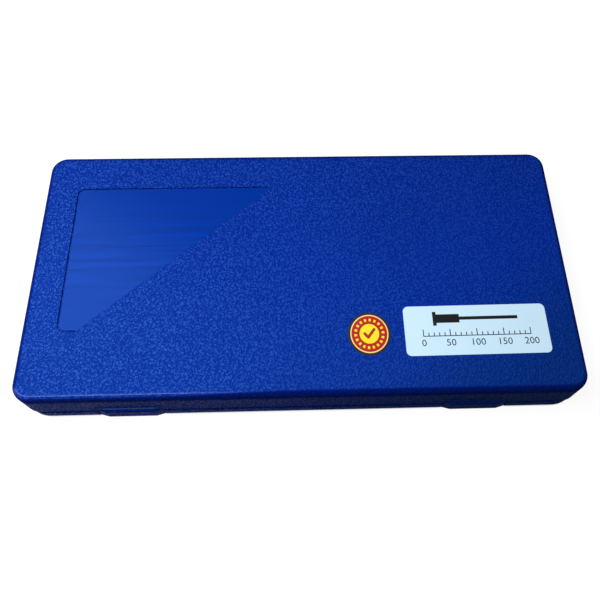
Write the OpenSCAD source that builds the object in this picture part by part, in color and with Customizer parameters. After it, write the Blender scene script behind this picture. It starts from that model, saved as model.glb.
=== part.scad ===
// Hard plastic case of a vernier depth gauge, closed, with the gauge inside.
// X runs along the case, Y from the latches at the front to the hinges, Z up from the resting face.

/* [Gauge] */
// Length of the beam's scale, the longest depth that the gauge measures
scale_l = 200; // [120:1:300]
// Width of the beam
beam_w = 12; // [9:0.5:16]
// Thickness of the beam
beam_t = 4; // [3:0.25:6]
// Length of beam left beyond the slider at full depth
beam_grip = 18; // [12:1:30]
// Width of the beam's narrowed measuring tip
tip_w = 5; // [3:0.25:8]
// Length of the beam's narrowed measuring tip
tip_l = 8; // [4:0.5:16]
// Length of the measuring base
bar_l = 100; // [70:1:150]
// Thickness of the measuring base at its middle
bar_t = 12; // [10:0.5:18]
// Thickness of the measuring base at its two ends
bar_end_t = 6; // [4:0.5:9]
// Length of the thick middle of the measuring base
bar_mid_l = 36; // [30:1:60]
// Length of the slider frame
slider_l = 62; // [50:1:90]
// Width of the slider's rails beside the beam
rail_w = 7; // [6:0.25:10]
// Thickness of the slider above and below the beam
slider_plate = 2; // [1.6:0.1:3.5]
// Radius of the slider's free corners
slider_r = 2; // [0.5:0.25:4]
// Thickness of the gib strip between beam and slider
gib_t = 0.8; // [0.5:0.1:1.2]
// Length of the bridges left at both ends of the slider's window
window_end = 4; // [3:0.25:8]
// Width of the strip that the window leaves over the beam's rear edge
window_lip = 1.5; // [0.5:0.25:3]
// Thickness of the vernier plate
vernier_t = 1; // [0.6:0.1:1.4]
// How far the vernier plate reaches over the beam
vernier_over = 3; // [1.5:0.25:5]
// Width of the vernier plate's slanted reading edge
vernier_bevel = 3.5; // [1.5:0.25:5]

/* [Gauge screws] */
// Diameter of the knurled clamp head
clamp_head_d = 7.6; // [6:0.2:8]
// Length of the knurled clamp head
clamp_head_l = 7; // [4:0.5:12]
// Diameter of the clamp screw's shank
clamp_d = 3; // [2:0.25:4]
// Distance of the clamp screw from the slider's free end
clamp_inset = 20; // [16:1:26]
// Number of grooves in the clamp head
clamp_grooves = 24; // [12:1:36]
// Radius of a groove in the clamp head
groove_r = 0.3; // [0.15:0.05:0.5]
// Diameter of the gib's set screws
set_d = 2.5; // [1.6:0.1:3]
// Length of the gib's set screws
set_l = 4.5; // [3:0.25:5]
// Distance of the gib's set screws from the slider's ends
set_inset = 10; // [8:0.5:13]
// Diameter of the screws that hold the measuring base
bar_screw_d = 2.5; // [2:0.1:3]
// Diameter of their heads
bar_head_d = 4.6; // [3.8:0.1:5.4]
// Height of their heads
bar_head_h = 2; // [1.2:0.1:3]
// Depth that they reach into the slider
bar_screw_in = 5; // [3:0.25:6]
// Diameter of the vernier plate's and stop's screws
small_d = 1.6; // [1.2:0.1:2]
// Diameter of their heads
small_head_d = 3; // [2.4:0.1:3.4]
// Height of their heads
small_head_h = 0.6; // [0.4:0.1:0.8]
// Depth that they reach into what they hold to
small_in = 2; // [1.2:0.1:2.5]
// Distance of the vernier plate's screws from its ends
small_inset = 3; // [2.5:0.25:5]
// Width of the driver slots in all screws
slot_w = 0.5; // [0.3:0.05:0.8]
// Depth of the driver slots in all screws
slot_d = 0.3; // [0.2:0.05:0.4]

/* [End stop] */
// Length of the stop at the beam's far end
stop_l = 6; // [4.5:0.25:10]
// Height of the stop
stop_h = 1.4; // [0.8:0.1:2]
// Distance of the stop's sides from the beam's edges
stop_margin = 1; // [0.5:0.25:2]

/* [Case] */
// Thickness of the moulded walls
wall = 2.4; // [2:0.1:3.2]
// Height of the base shell up to the parting line
base_h = 8.6; // [7.6:0.1:12]
// Radius of the corners seen from above
corner_r = 10; // [7:0.5:16]
// Radius of the lid's rounded top edge
top_edge_r = 4.65; // [2:0.05:5.5]
// Slope at which the lid's rounded top edge meets its flat top, in degrees
crease_slope = 33; // [0:1:50]
// Radius of the base's rounded bottom edge
bottom_edge_r = 4; // [1:0.25:5]
// Radius of both shells' outer edges along the parting line
rim_r = 0.4; // [0.2:0.05:0.8]
// How far the base's wall stands outside the lid's
base_out = 0.6; // [0:0.1:1.5]
// How much larger the base's corner radius is than the lid's
base_corner_more = 4; // [0:0.25:5]
// Height of the base's tongue inside the lid's rim
tongue_h = 2; // [1:0.1:3]

/* [Lid panel] */
// Distance of the panel's groove from the case's left side
panel_left = 19.5; // [12:0.5:40]
// Distance of the panel's groove from the case's rear side
panel_rear = 24.4; // [12:0.2:40]
// Length of the groove along the rear of the panel
panel_l = 115; // [60:1:160]
// Length of the groove along the left of the panel
panel_w = 95; // [50:1:110]
// Length of the groove's short end at the front
panel_stub = 11; // [8:0.5:30]
// Radius of the groove's corners
panel_r = 4.5; // [2:0.25:8]
// Width of the groove
groove_w = 0.9; // [0.5:0.05:1.5]
// Depth of the groove
groove_d = 0.7; // [0.3:0.05:1.2]

/* [Labels] */
// Length of the white label
label_l = 80.6; // [50:0.1:110]
// Width of the white label
label_w = 29.7; // [20:0.1:50]
// Radius of the white label's corners
label_r = 3; // [1:0.25:8]
// Thickness of the labels
label_t = 0.2; // [0.1:0.05:0.4]
// Distance of the white label from the case's right side
label_right = 18; // [8:0.5:40]
// Distance of the white label from the case's front side
label_front = 20.9; // [8:0.1:40]
// Turn of the white label on the lid, in degrees
label_turn = 0.45; // [-3:0.05:3]
// Size of the round sticker along the case
sticker_l = 23.6; // [16:0.1:40]
// Size of the round sticker from front to rear
sticker_w = 25.6; // [16:0.1:40]
// Space between the round sticker and the white label
sticker_space = 7.9; // [2:0.1:20]
// How far the sticker's middle lies in front of the label's middle
sticker_drop = 1.5; // [0:0.1:6]

/* [Foam] */
// Thickness of the foam sheet under the gauge
sheet_t = 4; // [2:0.5:8]
// Width of the foam along the well's two long sides
foam_side = 23.5; // [14:0.5:40]
// Thickness of the foam at the case's two ends
foam_end = 6; // [4:0.5:15]
// Height of the foam frame above the slider
foam_over = 1.3; // [1:0.1:4]
// Thickness of the foam in the lid
lid_foam_t = 11; // [8:0.5:20]
// Space between the measuring base's ends and the foam
well_space = 2.5; // [1:0.25:8]

/* [Hinges] */
// Distance of a hinge's middle from the case's end
hinge_inset = 59; // [46:1:100]
// Length of one hinge
hinge_l = 40; // [24:1:60]
// Length of the lid's knuckle in the middle of a hinge
lid_knuckle_l = 17; // [8:0.5:20]
// Diameter of the hinge pins
hinge_pin_d = 2.4; // [1.6:0.1:3]
// Wall of the knuckles round the pins
knuckle_wall = 1.6; // [1.2:0.1:2.4]
// Height of the webs that carry the knuckles, from the hinge's axis
knuckle_web = 6.5; // [4:0.25:7]

/* [Latches] */
// Distance of a latch's middle from the case's end
latch_inset = 59; // [46:1:100]
// Width of a latch
latch_w = 35.5; // [24:0.5:48]
// Thickness of a latch's plate
latch_t = 2.2; // [1.6:0.1:2.6]
// Height of a latch's axis above the parting line
latch_rise = 5; // [3.5:0.1:7]
// Diameter of the latch pins
latch_pin_d = 1.6; // [1.2:0.1:2]
// Wall of a latch's barrel round its pin
barrel_wall = 1.1; // [0.9:0.1:1.6]
// Length of the pins' ends held in the lid
pin_hold = 2.4; // [1.5:0.1:4]
// How far a latch's lip stands out from the case
lip_out = 1.3; // [0.8:0.1:2.5]
// Height of the lip's top above the resting face
lip_h = 10.5; // [6:0.1:11.5]
// Height and depth of the lip's slanted top edge
lip_bevel = 1.1; // [0.5:0.1:1.5]
// Length of the lip's slanted ends
lip_slant = 4.5; // [1:0.25:6]
// Height of a latch's lower edge above the resting face
latch_foot = 1.6; // [0.2:0.05:2]
// Radius of the snap ridges on latch and base
snap_r = 0.85; // [0.5:0.05:1.2]
// Height of the base's snap ridge above the resting face
catch_z = 5; // [4.6:0.1:6]
// Wall behind and beside the latch pockets
pocket_wall = 1.6; // [1.2:0.1:2.4]

/* [Clearances] */
// Running clearance between beam, gib and slider
slide_clear = 0.05; // [0.03:0.01:0.1]
// Radial clearance of pins and screws in their bores
pin_clear = 0.05; // [0.02:0.01:0.1]
// Gap at the parting line and between hinge knuckles
parting_gap = 0.3; // [0.2:0.05:0.5]
// Clearance of the tongue in the lid's rim
tongue_clear = 0.3; // [0.2:0.05:0.5]
// Clearance between the lid and the foam that it closes over
lid_clear = 0.6; // [0.4:0.05:1.2]
// Gap under the sliding gauge and round the foam
foam_clear = 0.3; // [0.2:0.05:0.6]
// Clearance between a latch and its pocket
latch_clear = 0.4; // [0.3:0.05:0.6]
// Clearance of sliding pieces at the ends of their travel
end_clear = 1; // [0.5:0.25:3]

/* [Hidden] */
$fn = 64;
eps = 0.02;
case_blue = "royalblue";
foam_grey = "dimgray";
steel = "silver";

// Gauge, from its beam outwards
slider_w = beam_w + 2 * rail_w;
slider_h = beam_t + 2 * slider_plate;
beam_l = scale_l + bar_t + slider_l + beam_grip;
z_gauge = wall + sheet_t + foam_clear;
z_beam = z_gauge + slider_plate;
z_mid = z_gauge + slider_h / 2;
z_top = z_gauge + slider_h;
x_face = -beam_l / 2;
x_slider = x_face + bar_t;
x_slider_end = x_slider + slider_l;
x_beam_end = x_face + beam_l;
y_gib = beam_w / 2 + slide_clear;
y_gib_back = y_gib + gib_t;
y_tunnel = y_gib_back + slide_clear;
y_rear_rail = slider_w / 2;
y_rail_mid = (y_tunnel + y_rear_rail) / 2;
window_l = slider_l - 2 * window_end;
vernier_w = rail_w + vernier_over - slider_r / 2;
y_vernier = -beam_w / 2 + vernier_over;
z_vernier = z_top - vernier_t;
y_vernier_screw = -beam_w / 2 - rail_w / 2;
x_clamp = x_slider_end - clamp_inset;
y_clamp_head = y_rear_rail + foam_clear;

// Case, built round the gauge
case_l = beam_l + 2 * (foam_end + lid_clear + wall);
case_w = bar_l + 2 * (well_space + foam_side + lid_clear + wall);
z_frame = wall + sheet_t;
z_frame_top = z_top + foam_over;
z_lid_foam = z_frame_top + lid_clear;
case_h = z_lid_foam + lid_foam_t + wall;
z_lid = base_h + parting_gap;
lid_h = case_h - z_lid;
y_front = -case_w / 2;
y_rear = case_w / 2;
in_l = case_l - 2 * wall;
in_w = case_w - 2 * wall;
in_r = corner_r - wall;
tongue_t = (wall - tongue_clear) / 2;
x_well_end = x_slider_end + scale_l + end_clear;

// Hinges
x_hinge = case_l / 2 - hinge_inset;
knuckle_r = hinge_pin_d / 2 + knuckle_wall;
y_hinge = y_rear + base_out + knuckle_r + parting_gap;
z_hinge = base_h + parting_gap / 2;
base_knuckle_l = (hinge_l - lid_knuckle_l) / 2 - parting_gap;

// Latches
x_latch = case_l / 2 - latch_inset;
barrel_r = latch_pin_d / 2 + barrel_wall;
y_latch = y_front + barrel_r;
z_latch = z_lid + latch_rise;
pocket_l = latch_w + 2 * latch_clear;
pocket_d = max(2 * barrel_r, latch_t + 2 * snap_r) + latch_clear;
pocket_out = max(lip_out, base_out) + eps;
pocket_top = z_latch + barrel_r + latch_clear;
boss_l = pocket_l + 2 * (pin_hold + pocket_wall / 2);
boss_d = pocket_d + pocket_wall;
boss_top = pocket_top + pocket_wall;
latch_pin_l = pocket_l + 2 * pin_hold;
hook_z = catch_z - 2 * snap_r - latch_clear / 2;

// Rectangle with round corners, centred
module plan(l, w, r) {
    square([l - 2 * r, w], center = true);
    square([l, w - 2 * r], center = true);
    for (sx = [-1, 1], sy = [-1, 1])
        translate([sx * (l / 2 - r), sy * (w / 2 - r)])
            circle(r);
}

// Flat slab with round corners, standing on its own zero height
module slab(l, w, h, r) {
    linear_extrude(h)
        plan(l, w, r);
}

// Section of a shell's side: a strip with a round outer foot
// Its outer top corner is a curve of radius e that meets the top at the given slope
module edge_section(r, h, e, slope) {
    drop = e * cos(slope);
    square([r - e, h]);
    square([r - rim_r, h - drop]);
    translate([0, rim_r])
        square([r, h - drop - rim_r]);
    translate([r - rim_r, rim_r])
        circle(rim_r);
    translate([r - e, h - drop])
        intersection() {
            circle(e);
            square([e, drop]);
        }
}

// Block with corner radius r seen from above, and the sides that edge_section gives
module edge_block(l, w, h, r, e, slope) {
    flat_l = l - 2 * r;
    flat_w = w - 2 * r;
    translate([-flat_l / 2, -flat_w / 2, 0])
        cube([flat_l, flat_w, h]);
    for (turn = [0, 180])
        rotate(turn) {
            translate([flat_l / 2, flat_w / 2, 0])
                rotate([90, 0, 0])
                    linear_extrude(flat_w)
                        edge_section(r, h, e, slope);
            translate([-flat_l / 2, flat_w / 2, 0])
                rotate([90, 0, 90])
                    linear_extrude(flat_l)
                        edge_section(r, h, e, slope);
            translate([flat_l / 2, flat_w / 2, 0])
                rotate_extrude(angle = 90)
                    edge_section(r, h, e, slope);
            translate([-flat_l / 2, flat_w / 2, 0])
                rotate(90)
                    rotate_extrude(angle = 90)
                        edge_section(r, h, e, slope);
        }
}

// Round bar along X, centred on its length
module bar_x(l, r) {
    rotate([0, 90, 0])
        cylinder(r = r, h = l, center = true);
}

// Round bar along Y, from its zero towards the rear
module bar_y(l, r) {
    rotate([-90, 0, 0])
        cylinder(r = r, h = l);
}

// One hinge knuckle with the slanted web that joins it to its shell
// side is -1 for a web below the axis, 1 for one above it
module knuckle(x, l, side) {
    reach = knuckle_r * cos(45);
    translate([x, y_hinge, z_hinge])
        bar_x(l, knuckle_r);
    translate([x - l / 2, y_hinge, z_hinge])
        rotate([90, 0, 90])
            linear_extrude(l)
                polygon([
                    [0, side * parting_gap / 2],
                    [y_rear - wall / 2 - y_hinge, side * parting_gap / 2],
                    [y_rear - wall / 2 - y_hinge, side * knuckle_web],
                    [y_rear - y_hinge, side * knuckle_web],
                    [reach, side * reach]
                ]);
}

// Bores of both hinge pins
module hinge_bores() {
    for (side = [-1, 1])
        translate([side * x_hinge, y_hinge, z_hinge])
            bar_x(hinge_l + 2 * eps, hinge_pin_d / 2 + pin_clear);
}

// Thick wall round one latch pocket, from z0 to z1, grown by extra for the foam's cut-outs
module latch_boss(x, z0, z1, extra) {
    translate([x - boss_l / 2 - extra, y_front + wall / 2, z0])
        cube([boss_l + 2 * extra, boss_d - wall / 2 + extra, z1 - z0]);
}

// Space of one latch pocket, open to the front, from z0 to z1
module latch_pocket(x, z0, z1) {
    translate([x - pocket_l / 2, y_front - pocket_out, z0])
        cube([pocket_l, pocket_d + pocket_out, z1 - z0]);
}

// Both latch bosses as cut-outs in a foam piece
module boss_cutouts(clear) {
    for (side = [-1, 1])
        latch_boss(side * x_latch, 0, boss_top + clear, clear);
}

// Lower shell: tray, tongue, latch recesses with snap ridges, outer hinge knuckles
module base_shell() {
    color(case_blue)
        difference() {
            union() {
                difference() {
                    translate([0, 0, base_h])
                        mirror([0, 0, 1])
                            edge_block(
                                case_l + 2 * base_out,
                                case_w + 2 * base_out,
                                base_h,
                                corner_r + base_corner_more,
                                bottom_edge_r,
                                0
                            );
                    translate([0, 0, wall])
                        slab(in_l, in_w, base_h, in_r);
                }
                translate([0, 0, base_h])
                    difference() {
                        slab(in_l + 2 * tongue_t, in_w + 2 * tongue_t, tongue_h, in_r + tongue_t);
                        slab(in_l, in_w, tongue_h + eps, in_r);
                    }
                for (side = [-1, 1])
                    latch_boss(side * x_latch, wall / 2, base_h, 0);
                for (side = [-1, 1], end = [-1, 1])
                    knuckle(
                        side * x_hinge + end * (hinge_l - base_knuckle_l) / 2,
                        base_knuckle_l,
                        -1
                    );
            }
            for (side = [-1, 1]) {
                difference() {
                    latch_pocket(side * x_latch, -eps, base_h + tongue_h + eps);
                    translate([side * x_latch, y_front + pocket_d, catch_z])
                        bar_x(pocket_l, snap_r);
                }
                translate([side * x_latch - boss_l / 2 - latch_clear, y_front, base_h])
                    cube([boss_l + 2 * latch_clear, boss_d + latch_clear, tongue_h + eps]);
            }
            hinge_bores();
        }
}

// Outline of the groove that frames the smooth corner panel on three sides
module panel_groove() {
    mid_x = -case_l / 2 + panel_left + panel_l;
    mid_y = y_rear - panel_rear - panel_w / 2;
    intersection() {
        translate([mid_x, mid_y])
            difference() {
                plan(2 * panel_l, panel_w, panel_r);
                plan(2 * (panel_l - groove_w), panel_w - 2 * groove_w, panel_r - groove_w);
            }
        translate([mid_x - panel_l - groove_w, mid_y]) {
            translate([0, -panel_w])
                square([panel_stub + groove_w, 2 * panel_w]);
            square([panel_l + groove_w, panel_w]);
        }
    }
}

// Upper shell: deep lid with the panel groove, latch pockets and middle hinge knuckles
module lid_shell() {
    color(case_blue)
        difference() {
            union() {
                difference() {
                    translate([0, 0, z_lid])
                        edge_block(case_l, case_w, lid_h, corner_r, top_edge_r, crease_slope);
                    translate([0, 0, z_lid - eps])
                        slab(in_l, in_w, lid_h - wall + eps, in_r);
                }
                for (side = [-1, 1])
                    latch_boss(side * x_latch, z_lid, boss_top, 0);
                for (side = [-1, 1])
                    knuckle(side * x_hinge, lid_knuckle_l, 1);
            }
            translate([0, 0, z_lid - eps])
                difference() {
                    slab(
                        in_l + 2 * (tongue_t + tongue_clear),
                        in_w + 2 * (tongue_t + tongue_clear),
                        tongue_h + tongue_clear + eps,
                        in_r + tongue_t + tongue_clear
                    );
                    slab(in_l - eps, in_w - eps, tongue_h + tongue_clear + 2 * eps, in_r);
                }
            for (side = [-1, 1]) {
                latch_pocket(side * x_latch, z_lid - eps, pocket_top);
                translate([side * x_latch, y_latch, z_latch])
                    bar_x(latch_pin_l, latch_pin_d / 2 + pin_clear);
            }
            translate([0, 0, case_h - groove_d])
                linear_extrude(groove_d + eps)
                    panel_groove();
            hinge_bores();
        }
}

// Steel pin of one hinge
module hinge_pin(side) {
    color(steel)
        translate([side * x_hinge, y_hinge, z_hinge])
            bar_x(hinge_l, hinge_pin_d / 2);
}

// One latch: barrel, hanging plate, finger lip with slanted ends, snap ridge behind
module latch(side) {
    x = side * x_latch;
    color(case_blue)
        difference() {
            union() {
                translate([x, y_latch, z_latch])
                    bar_x(latch_w, barrel_r);
                translate([x - latch_w / 2, y_front, latch_foot])
                    cube([latch_w, latch_t, z_latch - latch_foot]);
                translate([x, y_front + latch_t, hook_z])
                    bar_x(latch_w, snap_r);
                latch_lip(x);
            }
            translate([x, y_latch, z_latch])
                bar_x(latch_w + 2 * eps, latch_pin_d / 2 + pin_clear);
        }
}

// Finger lip of one latch
module latch_lip(x) {
    intersection() {
        translate([x, y_front, latch_foot])
            linear_extrude(lip_h)
                polygon([
                    [-latch_w / 2, latch_t / 2],
                    [-latch_w / 2, 0],
                    [-latch_w / 2 + lip_slant, -lip_out],
                    [latch_w / 2 - lip_slant, -lip_out],
                    [latch_w / 2, 0],
                    [latch_w / 2, latch_t / 2]
                ]);
        translate([x - latch_w / 2, y_front, 0])
            rotate([90, 0, 90])
                linear_extrude(latch_w)
                    polygon([
                        [latch_t / 2, latch_foot],
                        [-lip_out, latch_foot],
                        [-lip_out, lip_h - lip_bevel],
                        [-lip_out + lip_bevel, lip_h],
                        [latch_t / 2, lip_h]
                    ]);
    }
}

// Steel pin of one latch
module latch_pin(side) {
    color(steel)
        translate([side * x_latch, y_latch, z_latch])
            bar_x(latch_pin_l - 2 * pin_clear, latch_pin_d / 2);
}

// Soft sheet on the floor of the base
module foam_sheet() {
    color(foam_grey)
        difference() {
            translate([0, 0, wall])
                slab(in_l - 2 * foam_clear, in_w - 2 * foam_clear, sheet_t, in_r - foam_clear);
            boss_cutouts(foam_clear);
        }
}

// Soft frame with the open well of the gauge and the cradle of the beam's far end
module foam_frame() {
    well_w = bar_l + 2 * well_space;
    x_well = x_face - end_clear;
    slot_w_beam = beam_w + 2 * foam_clear;
    color(foam_grey)
        difference() {
            translate([0, 0, z_frame])
                slab(
                    in_l - 2 * lid_clear,
                    in_w - 2 * lid_clear,
                    z_frame_top - z_frame,
                    in_r - lid_clear
                );
            translate([x_well, -well_w / 2, z_frame - eps])
                cube([x_well_end - x_well, well_w, z_frame_top]);
            translate([x_well_end - eps, -slot_w_beam / 2, z_beam])
                cube([x_beam_end + foam_clear - x_well_end + eps, slot_w_beam, z_frame_top]);
            boss_cutouts(lid_clear);
        }
}

// Soft pad under the lid
module lid_foam() {
    color(foam_grey)
        difference() {
            translate([0, 0, z_lid_foam])
                slab(in_l - 2 * foam_clear, in_w - 2 * foam_clear, lid_foam_t, in_r - foam_clear);
            boss_cutouts(foam_clear);
        }
}

// White paper label on the lid
module white_label() {
    color("white")
        translate([
            case_l / 2 - label_right - label_l / 2,
            y_front + label_front + label_w / 2,
            case_h
        ])
            rotate(label_turn)
                slab(label_l, label_w, label_t, label_r);
}

// Round paper sticker beside the label
module round_sticker() {
    color("firebrick")
        translate([
            case_l / 2 - label_right - label_l - sticker_space - sticker_l / 2,
            y_front + label_front + label_w / 2 - sticker_drop,
            case_h
        ])
            scale([1, sticker_w / sticker_l, 1])
                cylinder(d = sticker_l, h = label_t);
}

// Flat beam with a narrowed measuring tip, drilled for the stop's screw
module main_beam() {
    color(steel)
        difference() {
            translate([x_face, 0, z_beam])
                linear_extrude(beam_t)
                    polygon([
                        [0, beam_w / 2],
                        [0, beam_w / 2 - tip_w],
                        [tip_l, beam_w / 2 - tip_w],
                        [tip_l, -beam_w / 2],
                        [beam_l, -beam_w / 2],
                        [beam_l, beam_w / 2]
                    ]);
            translate([x_beam_end - stop_l / 2, 0, z_beam + beam_t - small_in - pin_clear])
                cylinder(d = small_d + 2 * pin_clear, h = small_in + 2 * pin_clear);
        }
}

// Slotted screw along Z with its head's seat at zero height
module flat_screw(shank_d, shank_l, head_d, head_h) {
    difference() {
        union() {
            translate([0, 0, -shank_l])
                cylinder(d = shank_d, h = shank_l);
            cylinder(d = head_d, h = head_h);
        }
        translate([-head_d / 2 - eps, -slot_w / 2, head_h - slot_d])
            cube([head_d + 2 * eps, slot_w, slot_d + eps]);
    }
}

// Stop plate that keeps the slider on the beam
module end_stop() {
    color(steel)
        difference() {
            translate([
                x_beam_end - stop_l,
                -beam_w / 2 + stop_margin,
                z_beam + beam_t
            ])
                cube([stop_l, beam_w - 2 * stop_margin, stop_h]);
            translate([x_beam_end - stop_l / 2, 0, z_beam + beam_t - eps])
                cylinder(d = small_d + 2 * pin_clear, h = stop_h + 2 * eps);
        }
}

// Screw of the stop plate
module end_stop_screw() {
    color(steel)
        translate([x_beam_end - stop_l / 2, 0, z_beam + beam_t + stop_h])
            flat_screw(small_d, stop_h + small_in, small_head_d, small_head_h);
}

// Section of the way through slider and measuring base: the beam's, plus the gib's when asked for
module beam_way(x, l, with_gib) {
    y_back = with_gib ? y_tunnel : beam_w / 2 + slide_clear;
    translate([x - eps, -beam_w / 2 - slide_clear, z_beam - slide_clear])
        cube([l + 2 * eps, beam_w / 2 + slide_clear + y_back, beam_t + 2 * slide_clear]);
}

// Cross bar whose front face is the gauge's measuring base
module measuring_base() {
    color(steel)
        difference() {
            translate([x_face, 0, z_gauge])
                linear_extrude(slider_h)
                    polygon([
                        [0, -bar_l / 2],
                        [bar_end_t, -bar_l / 2],
                        [bar_t, -bar_mid_l / 2],
                        [bar_t, bar_mid_l / 2],
                        [bar_end_t, bar_l / 2],
                        [0, bar_l / 2]
                    ]);
            beam_way(x_face, bar_t, false);
            for (side = [-1, 1])
                translate([x_face - eps, side * y_rail_mid, z_mid])
                    rotate([0, 90, 0]) {
                        cylinder(d = bar_screw_d + 2 * pin_clear, h = bar_t + 2 * eps);
                        cylinder(d = bar_head_d + 2 * pin_clear, h = bar_head_h + slot_d + eps);
                    }
        }
}

// Two slotted screws that join the measuring base to the slider
module base_screws() {
    color(steel)
        for (side = [-1, 1])
            translate([x_face + bar_head_h + slot_d, side * y_rail_mid, z_mid])
                rotate([0, -90, 0])
                    flat_screw(
                        bar_screw_d,
                        bar_t - bar_head_h - slot_d + bar_screw_in,
                        bar_head_d,
                        bar_head_h
                    );
}

// Slider that wraps the beam, with a window over the scale and a seat for the vernier plate
module slider_frame() {
    color(steel)
        difference() {
            translate([x_slider, -slider_w / 2, z_gauge])
                linear_extrude(slider_h)
                    slider_plan();
            beam_way(x_slider, slider_l, true);
            translate([x_slider + window_end, -beam_w / 2, z_mid])
                cube([window_l, beam_w - window_lip, slider_h]);
            translate([
                x_slider + window_end - slide_clear,
                y_vernier - vernier_w - slide_clear,
                z_vernier
            ])
                cube([window_l + 2 * slide_clear, vernier_w, vernier_t + eps]);
            for (x = vernier_screw_x())
                translate([x, y_vernier_screw, z_vernier - small_in - pin_clear])
                    cylinder(d = small_d + 2 * pin_clear, h = small_in + 2 * pin_clear);
            for (side = [-1, 1])
                translate([x_slider - eps, side * y_rail_mid, z_mid])
                    rotate([0, 90, 0])
                        cylinder(d = bar_screw_d + 2 * pin_clear, h = bar_screw_in + pin_clear + eps);
            for (x = set_screw_x())
                translate([x, y_tunnel - eps, z_mid])
                    bar_y(slider_w, set_d / 2 + pin_clear);
            translate([x_clamp, y_tunnel - eps, z_mid])
                bar_y(slider_w, clamp_d / 2 + pin_clear);
        }
}

// Slider seen from above: square where it meets the measuring base, round at its free corners
module slider_plan() {
    square([slider_l - slider_r, slider_w]);
    translate([0, slider_r])
        square([slider_l, slider_w - 2 * slider_r]);
    for (y = [slider_r, slider_w - slider_r])
        translate([slider_l - slider_r, y])
            circle(slider_r);
}

// Places of the vernier plate's two screws along the beam
function vernier_screw_x() = [
    x_slider + window_end + small_inset,
    x_slider + window_end + window_l - small_inset
];

// Places of the gib's two set screws along the beam
function set_screw_x() = [x_slider + set_inset, x_slider_end - set_inset];

// Plate with the vernier scale on its slanted edge beside the beam
module vernier_plate() {
    edge_t = vernier_t / 4;
    color(steel)
        difference() {
            translate([x_slider + window_end, y_vernier, z_vernier])
                rotate([90, 0, 90])
                    linear_extrude(window_l)
                        polygon([
                            [-vernier_w, 0],
                            [0, 0],
                            [0, edge_t],
                            [-vernier_bevel, vernier_t],
                            [-vernier_w, vernier_t]
                        ]);
            for (x = vernier_screw_x())
                translate([x, y_vernier_screw, z_vernier - eps])
                    cylinder(d = small_d + 2 * pin_clear, h = vernier_t + 2 * eps);
        }
}

// Two screws of the vernier plate
module vernier_screws() {
    color(steel)
        for (x = vernier_screw_x())
            translate([x, y_vernier_screw, z_top])
                flat_screw(small_d, vernier_t + small_in, small_head_d, small_head_h);
}

// Thin strip that the set screws press against the beam's rear edge
module gib_strip() {
    color("goldenrod")
        translate([x_slider + slide_clear, y_gib, z_beam])
            cube([slider_l - 2 * slide_clear, gib_t, beam_t]);
}

// Two headless set screws behind the gib strip
module gib_set_screws() {
    color(steel)
        for (x = set_screw_x())
            translate([x, y_tunnel, z_mid])
                difference() {
                    bar_y(set_l, set_d / 2);
                    translate([-set_d / 2 - eps, set_l - slot_d, -slot_w / 2])
                        cube([set_d + 2 * eps, slot_d + eps, slot_w]);
                }
}

// Knurled screw that clamps the slider on the beam
module clamp_screw() {
    color(steel)
        translate([x_clamp, 0, z_mid])
            difference() {
                union() {
                    translate([0, y_tunnel, 0])
                        bar_y(y_clamp_head - y_tunnel + eps, clamp_d / 2);
                    translate([0, y_clamp_head, 0])
                        bar_y(clamp_head_l, clamp_head_d / 2);
                }
                for (i = [0 : clamp_grooves - 1])
                    rotate([0, i * 360 / clamp_grooves, 0])
                        translate([clamp_head_d / 2, y_clamp_head - eps, 0])
                            bar_y(clamp_head_l + 2 * eps, groove_r);
            }
}

base_shell();
lid_shell();
hinge_pin(-1);  // hinge_pin_left
hinge_pin(1);  // hinge_pin_right
latch(-1);  // latch_left
latch(1);  // latch_right
latch_pin(-1);  // latch_pin_left
latch_pin(1);  // latch_pin_right
foam_sheet();
foam_frame();
lid_foam();
white_label();
round_sticker();
main_beam();
end_stop();
end_stop_screw();
measuring_base();
base_screws();
slider_frame();
vernier_plate();
vernier_screws();
gib_strip();
gib_set_screws();
clamp_screw();
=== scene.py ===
"""Looks of a closed plastic case with a vernier depth gauge in it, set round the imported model."""

import math

import bmesh
import bpy
from bpy.props import (
    FloatProperty,
    FloatVectorProperty,
    IntProperty,
    PointerProperty,
)
from mathutils import Matrix, Vector


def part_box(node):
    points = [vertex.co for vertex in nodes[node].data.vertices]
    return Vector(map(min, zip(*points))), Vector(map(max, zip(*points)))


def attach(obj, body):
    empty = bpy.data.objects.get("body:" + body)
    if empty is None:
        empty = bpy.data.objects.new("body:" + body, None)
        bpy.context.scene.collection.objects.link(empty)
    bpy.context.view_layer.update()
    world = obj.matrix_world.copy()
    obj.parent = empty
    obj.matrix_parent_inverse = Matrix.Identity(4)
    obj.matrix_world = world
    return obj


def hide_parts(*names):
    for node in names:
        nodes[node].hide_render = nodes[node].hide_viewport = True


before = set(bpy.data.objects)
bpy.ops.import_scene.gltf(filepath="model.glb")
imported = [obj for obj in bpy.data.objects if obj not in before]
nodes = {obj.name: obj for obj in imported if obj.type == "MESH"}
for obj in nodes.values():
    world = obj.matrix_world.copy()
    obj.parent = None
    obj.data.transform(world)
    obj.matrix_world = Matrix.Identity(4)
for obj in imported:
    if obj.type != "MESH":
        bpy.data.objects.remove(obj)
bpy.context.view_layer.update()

bl_info = {
    "name": "Depth gauge case",
    "version": (1, 0, 0),
    "blender": (4, 5, 0),
    "location": "View3D > Sidebar > Gauge case",
    "description": "Finishes, print, foam and stage of a cased vernier depth gauge",
    "category": "Object",
}

MM = 0.001


def low(node):
    """Lowest corner of a node's box at rest."""
    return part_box(node)[0]


def high(node):
    """Highest corner of a node's box at rest."""
    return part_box(node)[1]


def middle(node):
    """Middle of a node's box at rest."""
    return (low(node) + high(node)) / 2


def tint(name, description, colour):
    """A colour that a user may change."""
    return FloatVectorProperty(
        name=name, description=description, subtype="COLOR", size=3, min=0, max=1, default=colour
    )


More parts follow.
